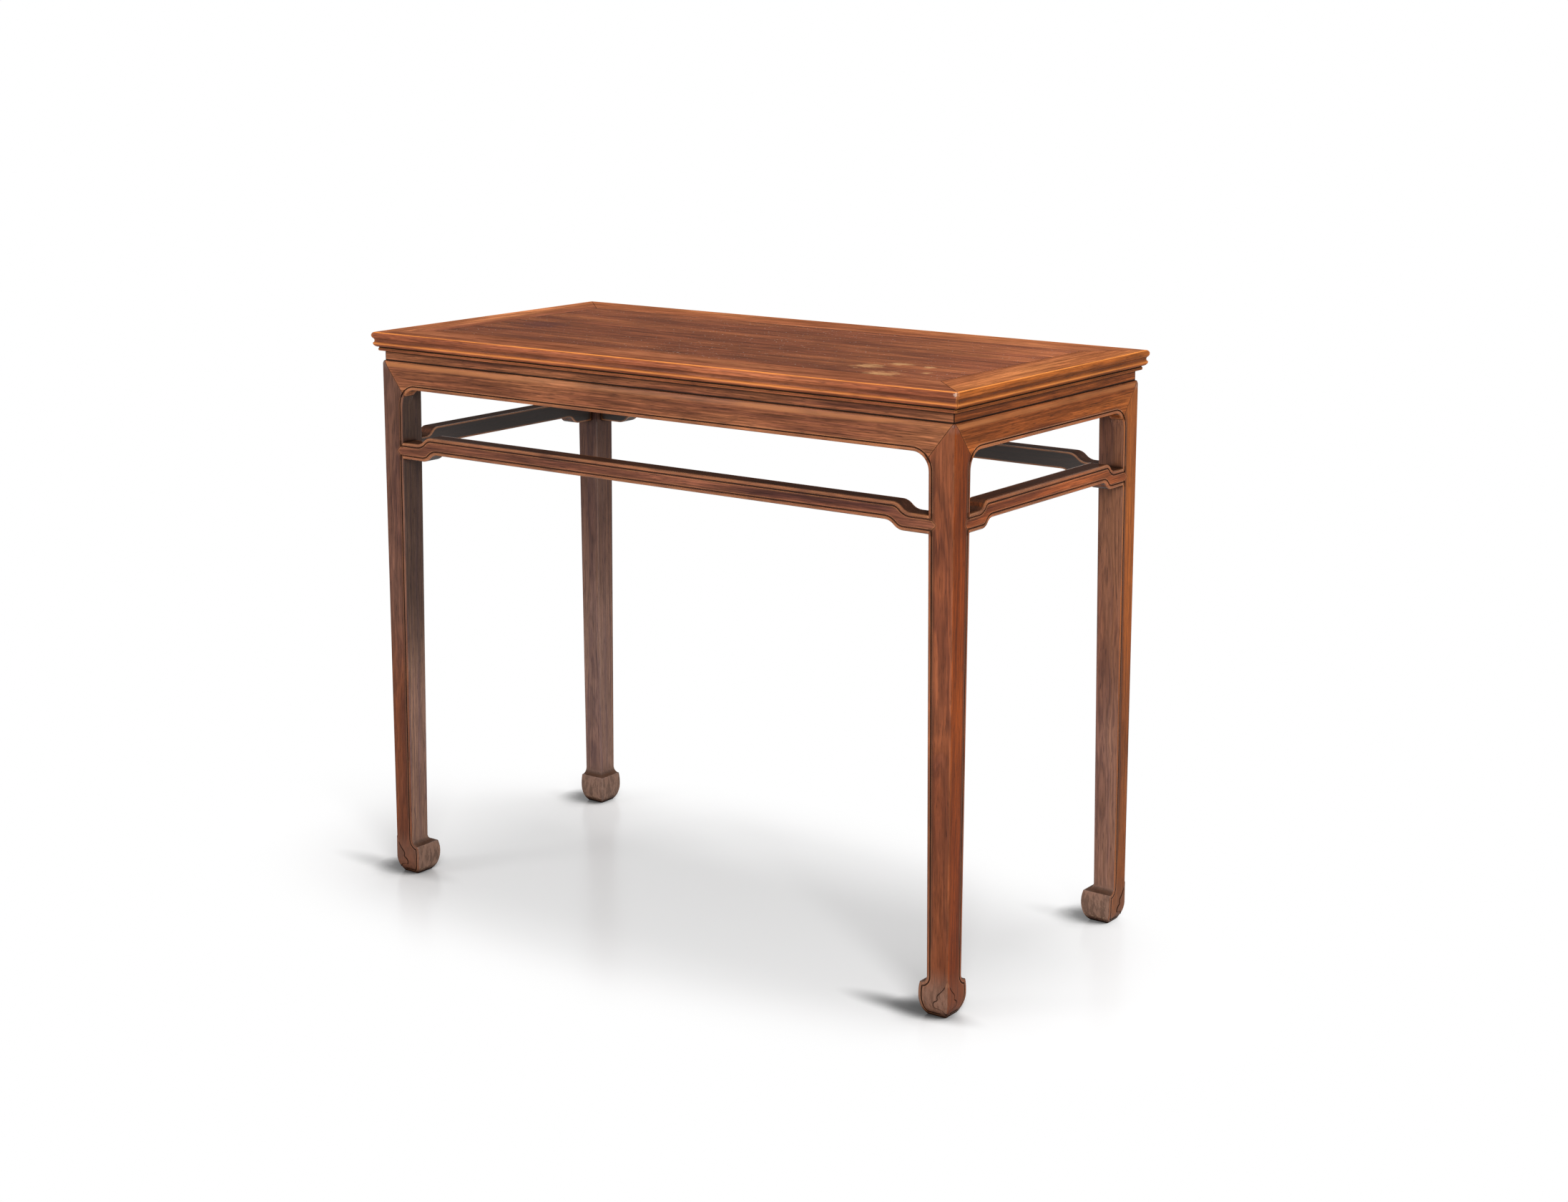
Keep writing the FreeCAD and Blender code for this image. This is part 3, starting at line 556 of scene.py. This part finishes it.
# Tints for each side set its tone and also paint the sheen, light and shade it gets.
apron_light_tints = {"front": (0.82, 0.91, 1.24), "right": (0.94, 0.80, 0.55), "back": (0.85, 0.92, 1.15),
               "left": (0.85, 0.85, 0.90)}
apron_roughness = 0.38
apron_mitre = 0.044
waist_foot = 0.807
waist_fade = 0.0003
apron_crown_highlight = (-0.0110, -0.0065, -0.0035, -0.0012)
swell_cells = (9, 60, 60)
waist_seam = (-0.0010, -0.0002, 0.0012, 0.0022)
for number, (side, (x, y)) in enumerate(sides.items()):
    wood = new_material(f"apron {side} wood")
    tree = wood.node_tree
    axis = "X" if x == 0 else "Y"
    place = along_grain(tree, axis, heart=(0.4 * number, 0.20, -0.72), lean=(0.006, -0.008))
    colour, height = timber(tree, place, apron_dark, apron_middle, apron_light)
    colour = lacquered(tree, tinted(tree, colour, apron_light_tints[side]), (-x, -y, 0), 0.80, 0.95)
    rise = maths(tree, "SUBTRACT", along(tree, "Z"), waist_foot)
    # Painted highlight: a patchy pale band along the rounded top of each apron, in the rubbed colour.
    patchy = spread(tree, speckle(tree, place, swell_cells, 3.0), 0.30, 0.70, 0.20, 0.75)
    colour = mixed(tree, product(tree, band(tree, rise, apron_crown_highlight), patchy), colour, apron_rubbed_and_highlight)
    seam = maths(tree, "MULTIPLY", band(tree, rise, waist_seam), grime_and_shade_share)
    colour = mixed(tree, seam, colour, grime_and_shade)
    from_leg = inwards_from(tree, axis, legs_half[axis])
    mitre = spread(tree, from_leg, apron_mitre + mitre_fade, apron_mitre, 0.0, shoulder_seam)
    joined = maths(tree, "MAXIMUM", mitre, spread(tree, rise, -waist_fade, 0.0))
    colour, dirt_and_shade, edge = used(tree, place, colour, apron_rubbed_and_highlight, joined)
    waxed(wood, colour, height, apron_roughness, dirt_and_shade, edge, sides=0.14)
    smooth_piece(f"apron_{side}", wood)
    smooth_piece(f"waist_{side}", wood)

# Top frame: four moulded members of the same hardwood, mitred and tenoned at the corners. The arris above
# the nose is rubbed pale with a painted highlight on it, and the crest of the roll below has a painted
# highlight.
# Painted shade darkens the underside of the nose and the lower roll, and wax with painted shade the
# groove above the lip.
table_top = 0.850
nose = {"X": 0.522, "Y": 0.255}
rail_dark = (0.215, 0.066, 0.021, 1)
rail_middle = (0.310, 0.098, 0.029, 1)
rail_light = (0.420, 0.145, 0.042, 1)
rail_rubbed_and_highlight = (0.780, 0.265, 0.060, 1)
rail_chip_glint = (0.560, 0.390, 0.300, 1)
# Tints for the mouldings and for the outer and inner parts of each member's upper face: they set its tone
# and also paint the light, sheen and shade it gets.
edge_light_tints = {"front": (0.96, 0.87, 1.24), "right": (0.95, 0.78, 0.46), "back": (1.20, 1.25, 1.40),
              "left": (0.95, 0.90, 0.90)}
outer_light_tints = {"front": (0.90, 0.94, 1.46), "right": (1.32, 1.36, 1.60), "back": (1.16, 1.20, 1.64),
               "left": (1.40, 1.52, 2.10)}
inner_light_tints = {"front": (0.90, 0.94, 1.46), "right": (1.18, 1.22, 1.60), "back": (1.22, 1.28, 1.90),
               "left": (0.96, 1.00, 1.70)}
rail_roughness = 0.45
rail_edge_polish = 0.4
upper_insets = (0.0030, 0.0050)
tint_insets = (0.020, 0.070)
arris_insets = (0.0012, 0.0026, 0.0036, 0.0050)
arris_drops = (0.0030, 0.0010)
crest_highlight_share = 0.6
crest_highlight_drops = (0.0145, 0.0160, 0.0172, 0.0195)
under_nose_drops = (0.0080, 0.0105, 0.0125, 0.0150)
under_nose_shade = 0.45
moulding_groove_drops = (0.0212, 0.0224, 0.0244, 0.0252)
moulding_groove_wax_and_shade = 0.85
lower_shade_drops = (0.0178, 0.0200)
lower_shade = 0.72
panel_joint_drops = (0.0012, 0.0004)
panel_joint_insets = (0.006, 0.012)
rail_mitre = (0.004, 0.002)
rail_mitre_seam = 0.45
rub_cells = (14, 60, 60)
chip_glint_centre, chip_glint_size = (0.518, -0.2545, 0.8470), 0.0050
chip_glint_cells = (200, 500, 500)
chip_glint_share = 0.7


def spot(tree, centre, size, cells):
    """1 within a spot whose outline is ragged by noise, fading to 0 at its size."""
    place = position(tree)
    ragged = maths(tree, "SUBTRACT", speckle(tree, place, cells, 4.0, 0.7), 0.5)
    ragged = maths(tree, "MULTIPLY", ragged, 3.2 * size)
    return spread(tree, maths(tree, "ADD", distance_from(tree, place, centre), ragged), size, 0.2 * size)


for number, (side, (x, y)) in enumerate(sides.items()):
    wood = new_material(f"top frame {side} wood")
    tree = wood.node_tree
    axis, across = ("X", "Y") if x == 0 else ("Y", "X")
    place = along_grain(tree, axis, heart=(0.5 * number, 0.31, -0.77), lean=(0.003, 0.005))
    colour, height = timber(tree, place, rail_dark, rail_middle, rail_light, figure=0.8)
    inset = inwards_from(tree, across, nose[across])
    drop = maths(tree, "SUBTRACT", table_top, along(tree, "Z"))
    upper = product(tree, facing(tree, (0, 0, 1), 0.55, 0.95), spread(tree, inset, *upper_insets))
    upper_tint = mixed(tree, spread(tree, inset, *tint_insets),
                       (*outer_light_tints[side], 1), (*inner_light_tints[side], 1))
    colour = mixed(tree, upper, tinted(tree, colour, edge_light_tints[side]), tinted(tree, colour, upper_tint))
    colour = lacquered(tree, colour, (-x, -y, 0), 0.80, 0.95)

    # Rubbing with a painted highlight on the arris, and a painted highlight along the crest of the roll,
    # both in the rubbed colour.
    arris = product(tree, band(tree, inset, arris_insets), spread(tree, drop, *arris_drops))
    crest_highlight = product(tree, band(tree, drop, crest_highlight_drops), facing(tree, (x, y, 0), 0.30, 0.70), crest_highlight_share)
    patchy = spread(tree, speckle(tree, place, rub_cells, 3.0), 0.25, 0.60, 0.45, 1.0)
    rubbing = product(tree, maths(tree, "MAXIMUM", arris, crest_highlight), patchy)
    colour = mixed(tree, rubbing, colour, rail_rubbed_and_highlight)
    # Painted shade under the nose, and wax with painted shade in the groove above the lip.
    under_nose = maths(tree, "MULTIPLY", band(tree, drop, under_nose_drops), under_nose_shade)
    groove = maths(tree, "MULTIPLY", band(tree, drop, moulding_groove_drops), moulding_groove_wax_and_shade)
    colour = mixed(tree, maths(tree, "MAXIMUM", under_nose, groove), colour, old_wax_and_shade)
    # Painted shade: the lower part of the roll, which faces down, is darker.
    colour = shaded(tree, colour, spread(tree, drop, *lower_shade_drops, 1.0, lower_shade))
    # A pale chip on the nose at the front right corner, which also stands for a painted glint.
    chip_glint = maths(tree, "MULTIPLY", spot(tree, chip_glint_centre, chip_glint_size, chip_glint_cells), chip_glint_share)
    colour = mixed(tree, chip_glint, colour, rail_chip_glint)

    panel_joint = product(tree, spread(tree, drop, *panel_joint_drops),
                          spread(tree, inset, *panel_joint_insets))
    from_mitre = maths(tree, "SUBTRACT", inwards_from(tree, axis, nose[axis]), inset)
    mitre = spread(tree, from_mitre, *rail_mitre, 0.0, rail_mitre_seam)
    joined = maths(tree, "MAXIMUM", panel_joint, mitre)
    colour, dirt_and_shade, edge = used(tree, place, colour, rail_rubbed_and_highlight, joined, wear=0.6, reach=0.002)
    edge = maths(tree, "MULTIPLY", edge, rail_edge_polish)
    waxed(wood, colour, height, rail_roughness, dirt_and_shade, edge, sides=0.16, top=0.01)
    smooth_piece(f"top_frame_{side}", wood)

# Top panel: one wide board of the same hardwood, floating in the frame's grooves and redder than the
# frame, with specks of dust. Spilled drops have bleached it near the front right corner and darkened
# one spot towards the left end, and its underside is lacquered.
panel_dark = (0.105, 0.029, 0.013, 1)
panel_middle = (0.190, 0.055, 0.022, 1)
panel_light = (0.255, 0.080, 0.029, 1)
panel_stained = (0.470, 0.240, 0.100, 1)
panel_soaked = (0.085, 0.026, 0.020, 1)
panel_roughness = 0.55
lighter_end = (0.28, 0.44)
lighter_back = (-0.05, 0.12)
stains = (((0.347, -0.172, table_top), 0.030), ((0.290, -0.120, table_top), 0.025),
          ((0.318, -0.080, table_top), 0.018), ((0.368, -0.086, table_top), 0.011),
          ((0.395, -0.130, table_top), 0.010))
soaked_centre, soaked_size = (-0.375, -0.030, table_top), 0.050
soaked_share = 0.7
stain_cells = (45, 90, 90)
stain_wear_cells = (20, 260, 260)
dust = (0.560, 0.430, 0.350, 1)
dust_cells = (330, 430, 430)
dust_share = 0.8

wood = new_material("top panel wood")
tree = wood.node_tree
place = along_grain(tree, "X", heart=(0.2, 0.42, -0.70), lean=(0.004, 0.006))
colour, height = timber(tree, place, panel_dark, panel_middle, panel_light, figure=0.9)
# The panel is lighter towards its right end and its back.
colour = shaded(tree, colour, spread(tree, along(tree, "X"), *lighter_end, to_low=1.06, to_high=1.60))
colour = shaded(tree, colour, spread(tree, along(tree, "Y"), *lighter_back, to_low=1.0, to_high=1.15))
soaked = maths(tree, "MULTIPLY", spot(tree, soaked_centre, soaked_size, stain_cells), soaked_share)
colour = mixed(tree, soaked, colour, panel_soaked)
worn = spread(tree, speckle(tree, place, stain_wear_cells, 3.0), 0.30, 0.62, 0.40, 0.95)
for centre, size in stains:
    bleached = maths(tree, "MULTIPLY", spot(tree, centre, size, stain_cells), worn)
    colour = mixed(tree, bleached, colour, panel_stained)
specks = spread(tree, speckle(tree, place, dust_cells, 0.0), 0.79, 0.84)
colour = mixed(tree, product(tree, specks, facing(tree, (0, 0, 1)), dust_share), colour, dust)
colour = lacquered(tree, colour, (0, 0, -1))
colour, dirt_and_shade, edge = used(tree, place, colour, rail_rubbed_and_highlight, 1.0)
waxed(wood, colour, height, panel_roughness, dirt_and_shade, edge, sides=0.1, top=0.06)
smooth_piece("top_panel", wood)

# Braces: three cross bars of hardwood that run in sliding dovetails under the panel and keep it flat.
# They are lacquered dark all over, like the rest of the underside.
brace_dark = (0.030, 0.022, 0.017, 1)
brace_middle = (0.048, 0.040, 0.034, 1)
brace_light = (0.060, 0.046, 0.038, 1)
brace_roughness = 0.55

wood = new_material("brace wood")
tree = wood.node_tree
place = along_grain(tree, "Y", heart=(0.1, 0.3, -0.5), lean=(0, 0))
colour, height = timber(tree, place, brace_dark, brace_middle, brace_light)
colour, dirt_and_shade, edge = used(tree, place, colour, foot_worn, 0.0, wear=0.4)
waxed(wood, colour, height, brace_roughness, dirt_and_shade, edge)
for name in ("left", "middle", "right"):
    smooth_piece(f"panel_brace_{name}", wood)

# Studio: a pale floor that fades into a white room, with shadows painted into its colour round the feet,
# a soft light high overhead, a key from the right, and a small fill from the left that shines along the
# beads.
floor_half = 14.0
floor_pale = (0.92, 0.92, 0.92, 1)
floor_shaded = (0.03, 0.03, 0.03, 1)
floor_roughness = 0.22
white = (1, 1, 1, 1)
lit_side = {"X": 0.94, "Y": -0.10, "Z": 0.32}
contact_reach = 0.06
foot_shadows = {"front_right": (0.86, 0.130), "front_left": (0.40, 0.150), "back_right": (0.26, 0.100),
                "back_left": (0.20, 0.080)}
foot_shadow_width = 0.036
foot_shadow_left, foot_shadow_front = 0.018, 0.012
table_shadow_shift = (0.10, 0.12, 0)
table_shadow_scale = (1.16, 2.4, 1)


def in_view(tree):
    """1 for what the camera sees, also in a polish or through glass, and 0 for light on the table."""
    rays = add(tree, "ShaderNodeLightPath").outputs
    seen = maths(tree, "MAXIMUM", rays["Is Camera Ray"], rays["Is Transmission Ray"])
    return maths(tree, "MAXIMUM", seen, rays["Is Glossy Ray"])


shape = bmesh.new()
bmesh.ops.create_grid(shape, x_segments=1, y_segments=1, size=floor_half)
mesh = bpy.data.meshes.new("floor")
shape.to_mesh(mesh)
shape.free()
floor = bpy.data.objects.new("floor", mesh)
bpy.context.scene.collection.objects.link(floor)
paper = new_material("pale floor")
tree = paper.node_tree
# Painted shadows: the floor's colour is darkened by an occlusion test round the feet and by a soft oval
# to the left of each foot.
towards_light = add(tree, "ShaderNodeCombineXYZ", lit_side).outputs[0]
contact_shade = add(tree, "ShaderNodeAmbientOcclusion", {"Distance": contact_reach, "Normal": towards_light},
              samples=16).outputs["AO"]
clear = spread(tree, contact_shade, 0.66, 0.96, 0.15, 1.0)
place = position(tree)
for corner, (depth, reach) in foot_shadows.items():
    lowest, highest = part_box(f"leg_{corner}")
    middle = (lowest[0] - foot_shadow_left, (lowest[1] + highest[1]) / 2 - foot_shadow_front, 0)
    oval = add(tree, "ShaderNodeMapping",
               {"Vector": place, "Location": middle, "Scale": (reach, foot_shadow_width, 1)},
               vector_type="TEXTURE").outputs[0]
    clear = product(tree, clear, spread(tree, distance_from(tree, oval), 0.1, 1.0, 1.0 - depth, 1.0))
surface = add(tree, "ShaderNodeBsdfPrincipled",
              {"Base Color": mixed(tree, clear, floor_shaded, floor_pale), "Roughness": floor_roughness,
               "Specular IOR Level": 0.12})
table_shadow = add(tree, "ShaderNodeMapping",
                   {"Vector": place, "Location": table_shadow_shift, "Scale": table_shadow_scale})
outside = spread(tree, distance_from(tree, table_shadow.outputs[0]), 0.65, 1.15, 0.04, 1.0)
fade = product(tree, outside, clear, in_view(tree))
glow = add(tree, "ShaderNodeEmission", {"Color": white, "Strength": 1.0})
both = add(tree, "ShaderNodeMixShader", {0: fade, 1: surface.outputs[0], 2: glow.outputs[0]})
add(tree, "ShaderNodeOutputMaterial", {"Surface": both.outputs[0]})
mesh.materials.append(paper)


def lamp(name, place, aim, size, power):
    """A square soft light that faces a point."""
    light = bpy.data.lights.new(name, "AREA")
    light.shape = "SQUARE"
    light.size = size
    light.energy = power
    made = bpy.data.objects.new(name, light)
    made.location = place
    made.rotation_euler = (Vector(aim) - Vector(place)).to_track_quat("-Z", "Y").to_euler()
    bpy.context.scene.collection.objects.link(made)


table_middle = (0, 0, 0.5)
lamp("overhead light", (0.15, 0.70, 6.0), table_middle, size=2.2, power=130)
lamp("key light", (3.5, -3.6, 3.0), table_middle, size=2.4, power=225)
lamp("fill light", (-2.6, -3.6, 1.4), table_middle, size=1.2, power=30)

room_light = 0.5
room = bpy.data.worlds.new("white room")
bpy.context.scene.world = room
room.use_nodes = True
tree = room.node_tree
tree.nodes.clear()
strength = spread(tree, in_view(tree), 0.0, 1.0, room_light, 1.0)
sky = add(tree, "ShaderNodeBackground", {"Color": white, "Strength": strength})
add(tree, "ShaderNodeOutputWorld", {"Surface": sky.outputs[0]})

# Camera: standing off the front right corner at eye height and looking down a little. Its lens is shifted
# by a small fall, as in the photograph, so that the legs stay nearly upright in the picture.
camera_place = Vector((2.2047, -2.9245, 1.3234))
camera_aim = Vector((0.0217, 0.0552, 0.6155))
view = bpy.data.cameras.new("camera")
view.sensor_width = 36.0
view.lens = 57.75
view.shift_y = -0.0684
camera = bpy.data.objects.new("camera", view)
camera.location = camera_place
camera.rotation_euler = (camera_aim - camera_place).to_track_quat("-Z", "Y").to_euler()
bpy.context.scene.collection.objects.link(camera)
bpy.context.scene.camera = camera
bpy.context.scene.view_settings.view_transform = "Standard"
